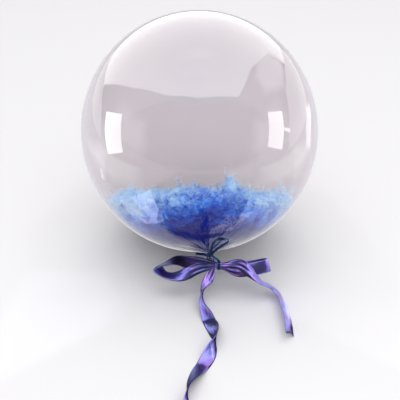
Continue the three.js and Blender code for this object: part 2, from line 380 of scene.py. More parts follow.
# The heap lies against the film below the body's middle, its top square to HEAP_DOWN.
HEAP_LEAN = math.radians(34)
HEAP_DEPTH = 0.138
HEAP_DOME = 0.016
HEAP_ROUGHNESS = 0.020
HEAP_DRIFT = Vector((-2.04, -0.352, -0.363))  # where in the noise the heap's top is read
CORE_INSET = 0.003
LUMP_DEPTH = 0.008
LUMP_SIZE = 0.030
SIDE_DETAIL = (3, 0.3)  # finer lumps under the film: how many times finer, and their share
TOP_DETAIL = (2.5, 0.6)
CLUMP_AT = (0.056, -0.110)  # right and back of the middle of the heap's top
CLUMP_HEIGHT = 0.027
CLUMP_RADIUS = 0.018
FUNNEL_REACH = 0.236  # the core runs this far into the neck, from the body's centre
FUNNEL_ANGLE = math.radians(5)
CORE_RINGS = 40
CORE_SECTORS = 96
FILM_MARGIN = 0.0015

HEAP_DOWN = Vector((0, -math.sin(HEAP_LEAN), -math.cos(HEAP_LEAN)))
HEAP_BACK = Vector((0, math.cos(HEAP_LEAN), -math.sin(HEAP_LEAN)))
CLUMP = CENTRE + CLUMP_AT[0] * RIGHT + CLUMP_AT[1] * HEAP_BACK + HEAP_DEPTH * HEAP_DOWN


def keep_inside(points, margin):
    """Moves points that would stick out of the film back inside it."""
    axis = np.array(NECK)
    offset = points - np.array(CENTRE)
    along = offset @ axis
    across = offset - along[:, None] * axis
    radius = np.linalg.norm(across, axis=1)
    wide = (radius / (BODY_RADIUS - margin)) ** 2 + (along / (BODY_HALF_LENGTH - margin)) ** 2
    profile = film_profile(margin)
    gather_start = profile[FILM_RINGS - 1, 1]
    in_body = along <= gather_start
    shrink = np.where(in_body & (wide > 1), 1 / np.sqrt(np.maximum(wide, 1)), 1.0)
    offset = offset * shrink[:, None]
    room = np.interp(along, profile[FILM_RINGS - 1:, 1], profile[FILM_RINGS - 1:, 0])
    squeeze = np.where(~in_body & (radius > room), room / np.maximum(radius, 1e-9), 1.0)
    low = np.minimum(along, profile[-1, 1])
    gathered = low[:, None] * axis + across * squeeze[:, None]
    inside = np.where(in_body[:, None], offset, gathered) + np.array(CENTRE)
    inside[:, 2] = np.maximum(inside[:, 2], margin)
    return inside


def on_inset_body(direction, inset):
    """The point of the body, moved in, that lies in a direction from its centre."""
    along = direction.dot(NECK)
    across = math.sqrt(max(0.0, 1 - along ** 2))
    reach = 1 / math.hypot(across / (BODY_RADIUS - inset), along / (BODY_HALF_LENGTH - inset))
    angle = math.acos(max(-1.0, min(1.0, along)))
    funnel = max(0.0, FUNNEL_REACH - reach) * math.exp(-(angle / FUNNEL_ANGLE) ** 2)
    return CENTRE + direction * (reach + funnel)


def heap_side(direction):
    """A point of the heap's lumpy side, close under the film."""
    spot = on_inset_body(direction, CORE_INSET)
    finer, share = SIDE_DETAIL
    lump = 0.5 + 0.5 * noise.noise(spot / LUMP_SIZE) + share * noise.noise(spot * finer / LUMP_SIZE)
    return on_inset_body(direction, CORE_INSET + LUMP_DEPTH * max(lump, 0.0))


def heap_top(flat, outwards, rim):
    """A point of the heap's uneven top: outwards is 0 in its middle and 1 at its rim."""
    edge = heap_side(math.cos(rim) * HEAP_DOWN + math.sin(rim) * flat)
    middle = CENTRE + HEAP_DEPTH * HEAP_DOWN
    spot = middle.lerp(edge, outwards)
    rise = HEAP_DOME * (1 - outwards ** 2)
    drifted = spot + HEAP_DRIFT
    finer, share = TOP_DETAIL
    lump = noise.noise(drifted / LUMP_SIZE) + share * noise.noise(drifted * finer / LUMP_SIZE)
    rise += HEAP_ROUGHNESS * lump
    rise += CLUMP_HEIGHT * math.exp(-((spot - CLUMP).length / CLUMP_RADIUS) ** 2)
    return spot - rise * HEAP_DOWN


def make_core():
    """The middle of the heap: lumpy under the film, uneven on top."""
    rim = math.acos(HEAP_DEPTH / (BODY_RADIUS - CORE_INSET))
    rows = [("side", rim * k / CORE_RINGS) for k in range(1, CORE_RINGS + 1)]
    top_rings = CORE_RINGS // 2
    rows += [("top", 1 - k / top_rings) for k in range(1, top_rings)]
    points, top = [heap_side(HEAP_DOWN)], [0.0]
    for kind, value in rows:
        for sector in range(CORE_SECTORS):
            turn = 2 * math.pi * sector / CORE_SECTORS
            flat = math.cos(turn) * RIGHT + math.sin(turn) * HEAP_BACK
            if kind == "side":
                spot = heap_side(math.cos(value) * HEAP_DOWN + math.sin(value) * flat)
            else:
                spot = heap_top(flat, value, rim)
            points.append(spot)
            top.append(float(kind == "top"))
    points.append(heap_top(RIGHT, 0.0, rim))
    top.append(1.0)
    rings = len(rows)
    faces = ring_faces(1, rings, CORE_SECTORS)
    faces += cap_faces(0, 1, CORE_SECTORS, outward=True)
    faces += cap_faces(len(points) - 1, 1 + (rings - 1) * CORE_SECTORS, CORE_SECTORS, outward=False)
    core = make_object("feather_core", points, faces)
    for name, values in (("on_top", top), ("on_side", [1 - value for value in top])):
        core.data.attributes.new(name, "FLOAT", "POINT").data.foreach_set("value", values)
    return core


TUFT_KINDS = 10
PUFF_LENGTH, PLUME_LENGTH = 0.020, 0.044
BARBS_PER_TUFT = 18
BARB_LENGTH = 0.021
BARB_REACH = (0.6, 1.15)  # shortest and longest, as shares of the length
BARB_WIDTH = 0.0013
BARB_TAPER = 0.7
BARB_BEND = 0.65
BARB_SPREAD = (50, 90)
BARB_STATIONS = (0.0, 0.35, 0.7, 1.0)
SPREAD_LOST = 0.6  # shares of the spread and length that barbs lose towards the shaft's tip
LENGTH_LOST = 0.35
SHAFT_START = 0.05
SHAFT_CURL = (0.2, 0.6)
SHAFT_SWAY = 0.5
PUFF_TURN = 2.4  # radians from barb to barb, the golden angle
PLUME_WANDER = 0.7


def make_tuft(kind, random):
    """Down with soft, curling, tapered barbs: a round puff, or a longer plume with barbs on two sides."""
    vertices, faces, along_barb = [], [], []
    plume = kind % 2
    length = PLUME_LENGTH if plume else PUFF_LENGTH
    curl = random.uniform(*SHAFT_CURL)
    sway = random.uniform(-SHAFT_SWAY, SHAFT_SWAY)
    for barb in range(BARBS_PER_TUFT):
        s = SHAFT_START + (1 - SHAFT_START) * barb / (BARBS_PER_TUFT - 1)
        root = Vector((s, sway * s * s, curl * s * s)) * length
        spread = math.radians(random.uniform(*BARB_SPREAD) * (1 - SPREAD_LOST * s * s))
        if plume:
            turn = math.pi * barb + random.uniform(-PLUME_WANDER, PLUME_WANDER)
        else:
            turn = PUFF_TURN * barb
        sideways = math.sin(spread)
        aim = Vector((math.cos(spread), sideways * math.cos(turn), sideways * math.sin(turn)))
        bend = Vector(random.uniform(-BARB_BEND, BARB_BEND, 3))
        reach = BARB_LENGTH * (1 - LENGTH_LOST * s) * random.uniform(*BARB_REACH)
        broad = aim.cross(Vector(random.normal(size=3))).normalized() * BARB_WIDTH / 2
        first = len(vertices)
        for u in BARB_STATIONS:
            spot = root + reach * (u * aim + u * u * bend)
            width = broad * (1 - BARB_TAPER * u)
            vertices += [spot] if u == 1.0 else [spot - width, spot + width]
            along_barb += [u] if u == 1.0 else [u, u]
        for step in range(len(BARB_STATIONS) - 2):
            a = first + 2 * step
            faces.append((a, a + 2, a + 3, a + 1))
        last = first + 2 * (len(BARB_STATIONS) - 2)
        faces.append((last, last + 2, last + 1))
    tuft = make_object(f"tuft_{kind}", vertices, faces)
    tuft.data.attributes.new("tip", "FLOAT", "POINT").data.foreach_set("value", along_barb)
    return tuft


def scatter_tree(name):
    """Geometry nodes: spreads a collection's objects over a surface, each lifted off it by some angle."""
    tree = bpy.data.node_groups.new(name, "GeometryNodeTree")
    sockets = [
        ("Surface", "NodeSocketGeometry"), ("Tufts", "NodeSocketCollection"), ("Where", "NodeSocketString"),
        ("Density", "NodeSocketFloat"), ("Least Lift", "NodeSocketFloat"), ("Most Lift", "NodeSocketFloat"),
        ("Least Size", "NodeSocketFloat"), ("Most Size", "NodeSocketFloat"), ("Seed", "NodeSocketInt"),
        ("Finish", "NodeSocketMaterial"),
    ]
    for label, kind in sockets:
        tree.interface.new_socket(label, in_out="INPUT", socket_type=kind)
    tree.interface.new_socket("Feathers", in_out="OUTPUT", socket_type="NodeSocketGeometry")
    nodes, link = tree.nodes, tree.links.new
    given = nodes.new("NodeGroupInput").outputs

    where = nodes.new("GeometryNodeInputNamedAttribute")
    where.data_type = "FLOAT"
    link(given["Where"], where.inputs["Name"])
    density = nodes.new("ShaderNodeMath")
    density.operation = "MULTIPLY"
    link(where.outputs["Attribute"], density.inputs[0])
    link(given["Density"], density.inputs[1])

    spread = nodes.new("GeometryNodeDistributePointsOnFaces")
    link(given["Surface"], spread.inputs["Mesh"])
    link(density.outputs[0], spread.inputs["Density"])
    link(given["Seed"], spread.inputs["Seed"])

    def random_value(low, high, offset):
        node = nodes.new("FunctionNodeRandomValue")
        node.data_type = "FLOAT"
        for socket, value in ((node.inputs[2], low), (node.inputs[3], high)):
            if isinstance(value, float):
                socket.default_value = value
            else:
                link(value, socket)
        node.inputs["Seed"].default_value = offset
        return node.outputs[1]

    def turn_about(axis, angle, rotation):
        spin = nodes.new("FunctionNodeAxisAngleToRotation")
        spin.inputs["Axis"].default_value = axis
        link(angle, spin.inputs["Angle"])
        rotate = nodes.new("FunctionNodeRotateRotation")
        rotate.rotation_space = "LOCAL"
        link(rotation, rotate.inputs["Rotation"])
        link(spin.outputs[0], rotate.inputs["Rotate By"])
        return rotate.outputs[0]

    facing = spread.outputs["Rotation"]
    turned_round = turn_about((0, 0, 1), random_value(0.0, 2 * math.pi, 1), facing)
    lifted = turn_about((0, -1, 0), random_value(given["Least Lift"], given["Most Lift"], 2), turned_round)
    rolled = turn_about((1, 0, 0), random_value(-1.0, 1.0, 3), lifted)

    tufts = nodes.new("GeometryNodeCollectionInfo")
    tufts.inputs["Separate Children"].default_value = True
    tufts.inputs["Reset Children"].default_value = True
    link(given["Tufts"], tufts.inputs["Collection"])

    place = nodes.new("GeometryNodeInstanceOnPoints")
    place.inputs["Pick Instance"].default_value = True
    link(spread.outputs["Points"], place.inputs["Points"])
    link(tufts.outputs[0], place.inputs["Instance"])
    link(rolled, place.inputs["Rotation"])
    link(random_value(given["Least Size"], given["Most Size"], 4), place.inputs["Scale"])

    shade = nodes.new("GeometryNodeStoreNamedAttribute")
    shade.data_type = "FLOAT"
    shade.domain = "INSTANCE"
    shade.inputs["Name"].default_value = "shade"
    link(place.outputs[0], shade.inputs["Geometry"])
    link(random_value(0.0, 1.0, 5), shade.inputs["Value"])

    real = nodes.new("GeometryNodeRealizeInstances")
    link(shade.outputs[0], real.inputs[0])
    finish = nodes.new("GeometryNodeSetMaterial")
    link(real.outputs[0], finish.inputs["Geometry"])
    link(given["Finish"], finish.inputs["Material"])
    link(finish.outputs[0], nodes.new("NodeGroupOutput").inputs[0])
    return tree


def run_tree(surface, tree, name, values):
    """Runs a tree on a copy of a surface and keeps the result as a plain mesh."""
    carrier = bpy.data.objects.new(name, surface.data.copy())
    bpy.context.scene.collection.objects.link(carrier)
    modifier = carrier.modifiers.new("tree", "NODES")
    modifier.node_group = tree
    for item in tree.interface.items_tree:
        if item.in_out == "INPUT" and item.name in values:
            modifier[item.identifier] = values[item.name]
    carrier.update_tag()
    graph = bpy.context.evaluated_depsgraph_get()
    made = bpy.data.meshes.new_from_object(carrier.evaluated_get(graph))
    carrier.modifiers.remove(modifier)
    carrier.data = made
    made.name = name
    return carrier


def press_inside(piece, margin):
    mesh = piece.data
    points = np.empty(len(mesh.vertices) * 3, dtype=np.float32)
    mesh.vertices.foreach_get("co", points)
    moved = keep_inside(points.reshape(-1, 3).astype(float), margin)
    mesh.vertices.foreach_set("co", moved.astype(np.float32).ravel())
    mesh.update()


FEATHER_LAYERS = {
    # name: (where, tufts a square metre, least and most lift in degrees, least and most size, seed)
    "feathers_under_film_1": ("on_side", 13000, -5, 35, 0.45, 0.9, 11),
    "feathers_under_film_2": ("on_side", 13000, 5, 55, 0.35, 0.8, 12),
    "feathers_on_top_1": ("on_top", 16000, -15, 15, 0.35, 0.75, 21),
    "feathers_on_top_2": ("on_top", 14000, -5, 40, 0.25, 0.5, 22),
}


def make_feathers(core, finish):
    random = np.random.default_rng(7)
    tufts = bpy.data.collections.new("tufts")
    bpy.context.scene.collection.children.link(tufts)
    for kind in range(TUFT_KINDS):
        tuft = make_tuft(kind, random)
        bpy.context.scene.collection.objects.unlink(tuft)
        tufts.objects.link(tuft)
    tree = scatter_tree("scatter_down")
    layers = []
    for name, (where, density, low, high, small, large, seed) in FEATHER_LAYERS.items():
        layer = run_tree(core, tree, name, {
            "Tufts": tufts, "Where": where, "Density": float(density), "Seed": seed, "Finish": finish,
            "Least Lift": math.radians(low), "Most Lift": math.radians(high),
            "Least Size": small, "Most Size": large,
        })
        press_inside(layer, FILM_MARGIN)
        layers.append(layer)
    for tuft in list(tufts.objects):
        bpy.data.objects.remove(tuft)
    bpy.data.collections.remove(tufts)
    return layers


# The down's blues run from painted light on the heap's top to painted shade towards the neck.
PALE = (0.50, 0.78, 1.0)
SKY = (0.29, 0.60, 1.0)
AZURE = (0.035, 0.28, 1.0)
ROYAL = (0.002, 0.085, 0.65)
NAVY = (0.0, 0.010, 0.30)
DOWN_COLOURS = [(0.0, PALE), (0.15, SKY), (0.4, AZURE), (0.66, ROYAL), (1.0, NAVY)]
# Painted shade deepens the blue below PALEST_DEPTH and towards DEEPEST_ACROSS; FADE_SIDEWAYS pales the sides,
# painted light.
PALEST_DEPTH = 0.0975  # below the body's middle; the blue deepens from here
FADE_DEPTH = 0.062
DEEPEST_ACROSS = 0.017
FADE_SIDEWAYS = 5.2
CLUMP_SHADE = 0.5
CLUMP_SHADE_RADIUS = 1.6 * CLUMP_RADIUS
MOTTLES = ((34.0, 1.2), (90.0, 0.7))  # scale and strength
TUFT_SHADE = 0.85
# Painted shade at the barbs' roots, against paler tips.
TIP_PALENESS = 0.75
TIP_START = 0.45


def down_dye_and_painted_shade_material():
    """Dyed blue down, mottled: painted shade deepens it from the top of the heap down to the neck and at the
    barbs' roots, and painted light pales its sides and tips.
    """
    material, nodes, shader = new_material("down_dye_and_painted_shade", Roughness=0.8, Specular_IOR_Level=0.1)

    def changed(level, value, middle, strength):
        change = nodes.math("MULTIPLY", nodes.math("SUBTRACT", value, middle), strength)
        return nodes.math("ADD", level, change)

    place = nodes.add("ShaderNodeTexCoord").outputs["Object"]
    from_middle = nodes.vector_math("SUBTRACT", place, tuple(CENTRE))
    # Painted shade: darker deeper in the heap and nearer its middle; painted light: paler towards its sides.
    depth = nodes.vector_math("DOT_PRODUCT", from_middle, tuple(HEAP_DOWN))
    level = nodes.math("DIVIDE", nodes.math("SUBTRACT", depth, PALEST_DEPTH), FADE_DEPTH)
    across = nodes.add("ShaderNodeSeparateXYZ", Vector=from_middle).outputs["X"]
    sideways = nodes.math("ABSOLUTE", nodes.math("SUBTRACT", across, DEEPEST_ACROSS))
    level = nodes.math("SUBTRACT", level, nodes.math("MULTIPLY", sideways, FADE_SIDEWAYS))
    clump_middle = CLUMP - CLUMP_HEIGHT * 0.5 * HEAP_DOWN
    from_clump = nodes.vector_math("DISTANCE", place, tuple(clump_middle))
    in_clump = nodes.math("SUBTRACT", 1.0, nodes.math("DIVIDE", from_clump, CLUMP_SHADE_RADIUS))
    level = changed(level, nodes.math("MAXIMUM", in_clump, 0.0), 0.0, CLUMP_SHADE)
    for scale, strength in MOTTLES:
        mottle = nodes.add("ShaderNodeTexNoise", Vector=place, Scale=scale, Detail=2.0)
        level = changed(level, mottle.outputs[0], 0.5, strength)
    shade = nodes.add("ShaderNodeAttribute", {"attribute_name": "shade"}).outputs["Fac"]
    level = changed(level, shade, 0.5, TUFT_SHADE)
    # Painted shade at the barbs' roots, paler at their tips.
    tip = nodes.add("ShaderNodeAttribute", {"attribute_name": "tip"}).outputs["Fac"]
    level = changed(level, tip, TIP_START, -TIP_PALENESS)
    nodes.feed(shader.inputs["Base Color"], nodes.ramp(level, DOWN_COLOURS))
    return material


# ---- Satin ribbon ----

SATIN_STEPS = 10
SATIN_COLUMNS = 10
GATHER_FOLDS = 2.5
FOLD_FULLNESS = 0.9
SATIN_CAMBER = 0.0022
# Patches along the ribbon: partly the satin's violet and green cast, partly painted sheen and shade.
SATIN_CAST_AND_PAINTED_SHEEN = [(0.36, (0.09, 0.12, 0.28)), (0.48, (0.165, 0.16, 0.48)), (0.62, (0.16, 0.105, 0.33))]
SATIN_EDGE_COLOUR = (0.05, 0.04, 0.16)
SATIN_EDGE_START = 0.47  # from the middle, as a share of the width


def direction_at(points, i):
    before, after = points[max(i - 1, 0)], points[min(i + 1, len(points) - 1)]
    return (after - before).normalized()


def strip_mesh(points, half_widths, flat_width, thickness, camber):
    """A closed ribbon with both faces and all edges. Where it is narrower than it lies flat, it folds."""
    vertices, uv = [], []
    run = 0.0
    columns = [2 * k / SATIN_COLUMNS - 1 for k in range(SATIN_COLUMNS + 1)]
    for i, (point, half_width) in enumerate(zip(points, half_widths)):
        out = direction_at(points, i).cross(half_width).normalized()
        width = 2 * half_width.length
        spare = math.sqrt(max(0.0, flat_width ** 2 - width ** 2))
        depth = spare / (4 * GATHER_FOLDS) * FOLD_FULLNESS
        if i:
            run += (point - points[i - 1]).length
        for face in (-0.5, 0.5):
            for column in columns:
                fold = depth * math.sin(math.pi * GATHER_FOLDS * column)
                bow = camber * out.z * (1 - column ** 2)
                vertices.append(point + column * half_width + out * (fold + bow + face * thickness))
                uv.append(((column + 1) / 2, run / flat_width))
    row = SATIN_COLUMNS + 1
    ring = 2 * row
    faces = []
    for i in range(len(points) - 1):
        a = i * ring
        b = a + ring
        for k in range(SATIN_COLUMNS):
            faces.append((a + k, a + k + 1, b + k + 1, b + k))
            faces.append((a + row + k, b + row + k, b + row + k + 1, a + row + k + 1))
        faces.append((a, b, b + row, a + row))
        faces.append((a + row - 1, a + 2 * row - 1, b + 2 * row - 1, b + row - 1))
    for start, near in ((0, True), ((len(points) - 1) * ring, False)):
        for k in range(SATIN_COLUMNS):
            quad = (start + k, start + row + k, start + row + k + 1, start + k + 1)
            faces.append(quad if near else quad[::-1])
    return vertices, faces, uv


def bow_loop(rows):
    """A loop's middle line and half widths, from its rows."""
    points, half_widths = [], []
    for *place, turn, lean, width in smooth_rows(rows, SATIN_STEPS).tolist():
        turn, lean = math.radians(turn), math.radians(lean)
        across = math.cos(lean) * (math.cos(turn) * RIGHT + math.sin(turn) * DOWN) + math.sin(lean) * FRONT
        points.append(KNOT + bow_direction(place) * MM)
        half_widths.append(across * width * MM / 2)
    return points, half_widths


def tail(rows, cut_slant):
    """A tail's middle line and half widths, from its rows; its end is cut on a slant."""
    smooth = smooth_rows(rows, SATIN_STEPS).tolist()
    ground = [Vector((x, y, 0)) * MM for x, y, *_ in smooth]
    points, half_widths = [], []
    for i, (x, y, clearance, roll, width) in enumerate(smooth):
        heading = direction_at(ground, i)
        angle = math.radians(roll)
        across = Vector((-heading.y * math.cos(angle), heading.x * math.cos(angle), math.sin(angle)))
        half_width = across * width * MM / 2
        lower_edge = max(clearance, 0) * MM + SATIN_LIFT
        points.append(Vector((x * MM, y * MM, lower_edge + abs(half_width.z))))
        half_widths.append(half_width)
    half_widths[-1] = half_widths[-1] - direction_at(ground, len(ground) - 1) * cut_slant
    return points, half_widths


def add_strip(vertices, faces, uv, strip, along=0.0):
    """Adds a strip to a mesh; its pattern starts the given distance along the ribbon."""
    more, more_faces, more_uv = strip
    faces += [tuple(k + len(vertices) for k in face) for face in more_faces]
    uv += [(u, v + along) for u, v in more_uv]
    vertices += more


def make_ribbon(name, vertices, faces, uv):
    ribbon = make_object(name, vertices, faces)
    layer = ribbon.data.uv_layers.new(name="ribbon")
    for loop in ribbon.data.loops:
        layer.data[loop.index].uv = uv[loop.vertex_index]
    return ribbon


def make_satin_bow():
    strips = [
        bow_loop(LEFT_LOOP),
        bow_loop(RIGHT_LOOP),
        tail(LONG_TAIL, LONG_CUT_SLANT),
        tail(SHORT_TAIL, SHORT_CUT_SLANT),
    ]
    vertices, faces, uv = [], [], []
    length = 0.0
    for points, half_widths in strips:
        strip = strip_mesh(points, half_widths, SATIN_WIDTH, SATIN_THICKNESS, SATIN_CAMBER)
        add_strip(vertices, faces, uv, strip, length / SATIN_WIDTH)
        length += sum((b - a).length for a, b in zip(points, points[1:]))
    add_knot(vertices, faces, uv)
    return make_ribbon("satin_ribbon_bow", vertices, faces, uv), length


KNOT_SECTORS = 28
KNOT_RINGS = 16
KNOT_FOLDS = 5
KNOT_FOLD_DEPTH = 0.09


def add_knot(vertices, faces, uv):
    """The wrapped middle of the bow: an oval with slanting folds."""
    first = len(vertices)
    vertices.append(KNOT - RIGHT * KNOT_RADII[0])
    uv.append((0.5, 0.0))
    for ring in range(1, KNOT_RINGS):
        polar = math.pi * ring / KNOT_RINGS
        for sector in range(KNOT_SECTORS):
            turn = 2 * math.pi * sector / KNOT_SECTORS
            crease = 0.5 + 0.5 * math.cos(KNOT_FOLDS * turn + 2 * polar)
            fold = 1 - KNOT_FOLD_DEPTH * math.sin(polar) * crease
            ray = DOWN * KNOT_RADII[1] * math.cos(turn) - FRONT * KNOT_RADII[2] * math.sin(turn)
            vertices.append(KNOT - RIGHT * KNOT_RADII[0] * math.cos(polar) + ray * math.sin(polar) * fold)
            uv.append((ring / KNOT_RINGS, turn))
    vertices.append(KNOT + RIGHT * KNOT_RADII[0])
    uv.append((0.5, 0.0))
    faces += ring_faces(first + 1, KNOT_RINGS - 1, KNOT_SECTORS)
    faces += cap_faces(first, first + 1, KNOT_SECTORS, outward=True)
    last_ring = first + 1 + (KNOT_RINGS - 2) * KNOT_SECTORS
    faces += cap_faces(len(vertices) - 1, last_ring, KNOT_SECTORS, outward=False)


def satin_material():
    """Navy satin in patches that are partly a violet and green cast and partly painted sheen and shade, with
    woven edges and lengthwise creases.
    """
    material, nodes, shader = new_material("navy_satin", Metallic=1.0, Roughness=0.32)
    uv = nodes.add("ShaderNodeUVMap", {"uv_map": "ribbon"}).outputs[0]
    # Patches of the satin's cast mixed with painted sheen and shade.
    cast_and_sheen = nodes.add("ShaderNodeTexNoise", Vector=uv, Scale=0.5, Detail=1.0)
    across = nodes.add("ShaderNodeSeparateXYZ", Vector=uv).outputs["X"]
    from_middle = nodes.math("ABSOLUTE", nodes.math("SUBTRACT", across, 0.5))
    edge = nodes.math("MULTIPLY", nodes.math("GREATER_THAN", from_middle, SATIN_EDGE_START), 0.45)
    colour = nodes.mix(edge, nodes.ramp(cast_and_sheen.outputs[0], SATIN_CAST_AND_PAINTED_SHEEN), SATIN_EDGE_COLOUR)
    nodes.feed(shader.inputs["Base Color"], colour)
    stretched = nodes.add("ShaderNodeMapping", {"vector_type": "POINT"}, Vector=uv, Scale=(7.0, 0.6, 1.0))
    creases = nodes.add("ShaderNodeTexNoise", Vector=stretched.outputs[0], Scale=1.0, Detail=3.0)
    creased = nodes.add("ShaderNodeBump", Strength=0.5, Distance=0.0015, Height=creases.outputs[0])
    threads = nodes.add("ShaderNodeTexWave", {"bands_direction": "Y"}, Vector=uv, Scale=14.0, Distortion=0.4)
    woven = nodes.add("ShaderNodeBump", Strength=0.08, Distance=0.0002, Height=threads.outputs[0])
    nodes.feed(woven.inputs["Normal"], creased.outputs[0])
    nodes.feed(shader.inputs["Normal"], woven.outputs[0])
    return material


# ---- Thin tie ----

BAND_TURNS = 3
BAND_STEPS = 32
BAND_SWELL = 0.06  # how much wider the last turn is than the first
TIE_CAMBER = 0.0004
# The teal at a slant is a painted glint.
TIE_COLOURS = ((0.008, 0.022, 0.10), (0.02, 0.12, 0.24))  # facing the eye, and at a slant


def curl(rows):
    points = [TIE_POINT + bow_direction(row) for row in (smooth_rows(rows, SATIN_STEPS) * MM).tolist()]
    half_widths = []
    for i in range(len(points)):
        across = direction_at(points, i).cross(FRONT).normalized()
        half_widths.append(across * TIE_WIDTH / 2)
    return points, half_widths


def wound(centre, axis, start, radii, turns, climb):
    """Turns of ribbon wound round something: radii are along start and square to it."""
    side = axis.cross(start).normalized()
    points, half_widths = [], []
    count = int(turns * BAND_STEPS)
    for step in range(count + 1):
        share = step / count
        angle = 2 * math.pi * turns * share
        swell = 1 + BAND_SWELL * share
        ray = start * radii[0] * math.cos(angle) + side * radii[1] * math.sin(angle)
        points.append(centre + ray * swell + axis * climb * (share - 0.5))
        half_widths.append(axis * TIE_WIDTH / 2)
    return points, half_widths


def make_neck_tie():
    neck_start = NECK.cross(RIGHT).normalized()
    neck_radius = COLLAR[0] + FIT_GAP + TIE_THICKNESS
    knot_radii = (KNOT_RADII[2] + FIT_GAP + TIE_THICKNESS, KNOT_RADII[1] + FIT_GAP + TIE_THICKNESS)
    climb = NECK_BAND_HEIGHT - TIE_WIDTH
    strips = [
        wound(TIE_POINT, NECK, neck_start, (neck_radius, neck_radius), BAND_TURNS, climb),
        wound(KNOT, RIGHT, FRONT, knot_radii, 1, 0.0),
        curl(TIE_LOOP),
        curl(TIE_END),
        curl(TIE_STRAND),
    ]
    vertices, faces, uv = [], [], []
    for points, half_widths in strips:
        strip = strip_mesh(points, half_widths, TIE_WIDTH, TIE_THICKNESS, TIE_CAMBER)
        add_strip(vertices, faces, uv, strip)
    return make_ribbon("curling_ribbon_tie", vertices, faces, uv)


def tie_material():
    """Glossy dark blue foil ribbon with a painted teal glint at a slant, and fine ridges along it."""
    material, nodes, shader = new_material("thin_ribbon", Metallic=0.7, Roughness=0.25)
    slant_glint = nodes.add("ShaderNodeLayerWeight", Blend=0.35).outputs["Facing"]
    nodes.feed(shader.inputs["Base Color"], nodes.mix(slant_glint, *TIE_COLOURS))
    uv = nodes.add("ShaderNodeUVMap", {"uv_map": "ribbon"}).outputs[0]
    ridges = nodes.add("ShaderNodeTexWave", {"bands_direction": "X"}, Vector=uv, Scale=3.0)
    ridged = nodes.add("ShaderNodeBump", Strength=0.3, Distance=0.0002, Height=ridges.outputs[0])
    nodes.feed(shader.inputs["Normal"], ridged.outputs[0])
    return material


# ---- Floor, lights and camera ----

CAMERA_RISE = math.radians(34)
CAMERA_DISTANCE = 2.8
VIEW_WIDTH = 0.76
VIEW_SHIFT_RIGHT = 0.001
VIEW_SHIFT_DOWN = 0.131

FLOOR_REACH = 8
SHEET_HEIGHT = 0.002
PALE_FLOOR_HEIGHT = 0.006
FLOOR_COLOUR = (0.50, 0.50, 0.505, 1)
ROOM_COLOUR = (1.0, 0.97, 1.0, 1)
ROOM_GLOW = 0.2
ROOM_GLOW_ON_MATT = 0.65  # more of it, for what matt surfaces gather
WHITE = (1.0, 0.985, 1.0)
LAVENDER = (0.86, 0.86, 1.0)
PALE_LAVENDER = (0.94, 0.93, 1.0)


def make_floor():
    reach = FLOOR_REACH
    corners = [(-reach, -reach, 0), (reach, -reach, 0), (reach, reach, 0), (-reach, reach, 0)]
    floor = make_object("floor", corners, [(0, 1, 2, 3)], smooth=False)
    floor.data.materials.append(new_material("pale_floor", Base_Color=FLOOR_COLOUR, Roughness=0.9)[0])


def add_light(name, size, power, at, towards):
    """A soft box that lights matt surfaces; what shines is lit by the cards instead."""
    data = bpy.data.lights.new(name, "AREA")
    data.shape = "RECTANGLE"
    data.size, data.size_y = size
    data.energy = power
    light = bpy.data.objects.new(name, data)
    light.location = at
    light.rotation_mode = "QUATERNION"
    light.rotation_quaternion = (Vector(towards) - Vector(at)).to_track_quat("-Z", "Y")
    light.visible_camera = False
    light.visible_glossy = False
    light.visible_transmission = False
    bpy.context.scene.collection.objects.link(light)


def card(name, glow, colour, outline, fade):
    """A glowing card that only reflections see, fading out at its edge. Its corners go round in order."""
    corners = [Vector(corner) for corner in outline]
    middle = sum(corners, Vector()) / len(corners)
    count = len(corners)
    vertices = [middle.lerp(corner, 1 - fade) for corner in corners] + corners
    faces = [tuple(range(count))]
    for k in range(count):
        after = (k + 1) % count
        faces.append((k, k + count, after + count, after))
    sheet = make_object(name, vertices, faces, smooth=False)
    strengths = [1.0] * count + [0.0] * count
    sheet.data.attributes.new("strength", "FLOAT", "POINT").data.foreach_set("value", strengths)
    material = bpy.data.materials.new(name)
    material.use_nodes = True
    nodes = Nodes(material.node_tree)
    material.node_tree.nodes.remove(material.node_tree.nodes["Principled BSDF"])
    strength = nodes.add("ShaderNodeAttribute", {"attribute_name": "strength"}).outputs["Fac"]
    emission = nodes.add("ShaderNodeEmission", Color=(*colour, 1))
    emission.inputs["Strength"].default_value = glow
    clear = nodes.add("ShaderNodeBsdfTransparent")
    fading = nodes.add("ShaderNodeMixShader")
    for socket, value in zip(fading.inputs, (strength, clear.outputs[0], emission.outputs[0])):
        nodes.feed(socket, value)
    nodes.feed(material.node_tree.nodes["Material Output"].inputs["Surface"], fading.outputs[0])
    sheet.data.materials.append(material)
    for ray in ("camera", "diffuse", "transmission", "volume_scatter", "shadow"):
        setattr(sheet, "visible_" + ray, False)


def around(*corners):
    """Corners given as right, down and front of the balloon's middle."""
    return [CENTRE + bow_direction(corner) for corner in corners]


def on_floor(*corners):
    return [(x, y, SHEET_HEIGHT) for x, y in corners]


def upright(x, *corners):
    """Corners in the plane that stands at x."""
    return [(x, y, z) for y, z in corners]


def make_room_glow():
    world = bpy.data.worlds.new("studio")
    world.use_nodes = True
    background = world.node_tree.nodes["Background"]
    background.inputs["Color"].default_value = ROOM_COLOUR
    nodes = Nodes(world.node_tree)
    matt = nodes.math("MINIMUM", nodes.add("ShaderNodeLightPath").outputs["Diffuse Depth"], 1.0)
    glow = nodes.math("ADD", nodes.math("MULTIPLY", matt, ROOM_GLOW_ON_MATT), ROOM_GLOW)
    nodes.feed(background.inputs["Strength"], glow)
    bpy.context.scene.world = world


